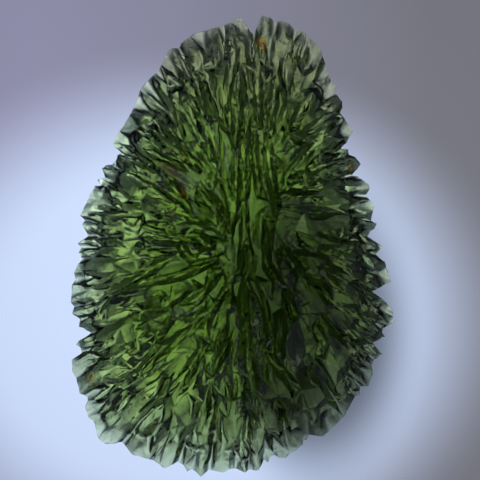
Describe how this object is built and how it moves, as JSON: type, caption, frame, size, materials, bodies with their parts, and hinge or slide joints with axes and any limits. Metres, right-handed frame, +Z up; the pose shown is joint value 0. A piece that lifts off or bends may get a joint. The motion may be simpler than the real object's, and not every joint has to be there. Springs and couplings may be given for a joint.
{
  "type": "moldavite",
  "caption": "Pear-shaped flat drop of clear green natural glass, deeply etched into fanned furrows and sharp crests, with a thin toothed rim.",
  "frame": {"origin": "centre of the bounding box, at the height of the surface that the stone rests on", "axes": "+Z up, out of the etched face; +Y towards the narrow end; +X to the right as the face is looked at"},
  "size_m": [0.0322, 0.0462, 0.0091],
  "materials": {
    "moldavite_glass": "clear deep-green natural glass with a silky etched skin, pale where it is thin and nearly black where it is thick"
  },
  "bodies": {
    "root": {"moldavite": "moldavite_glass"}
  },
  "joints": []
}
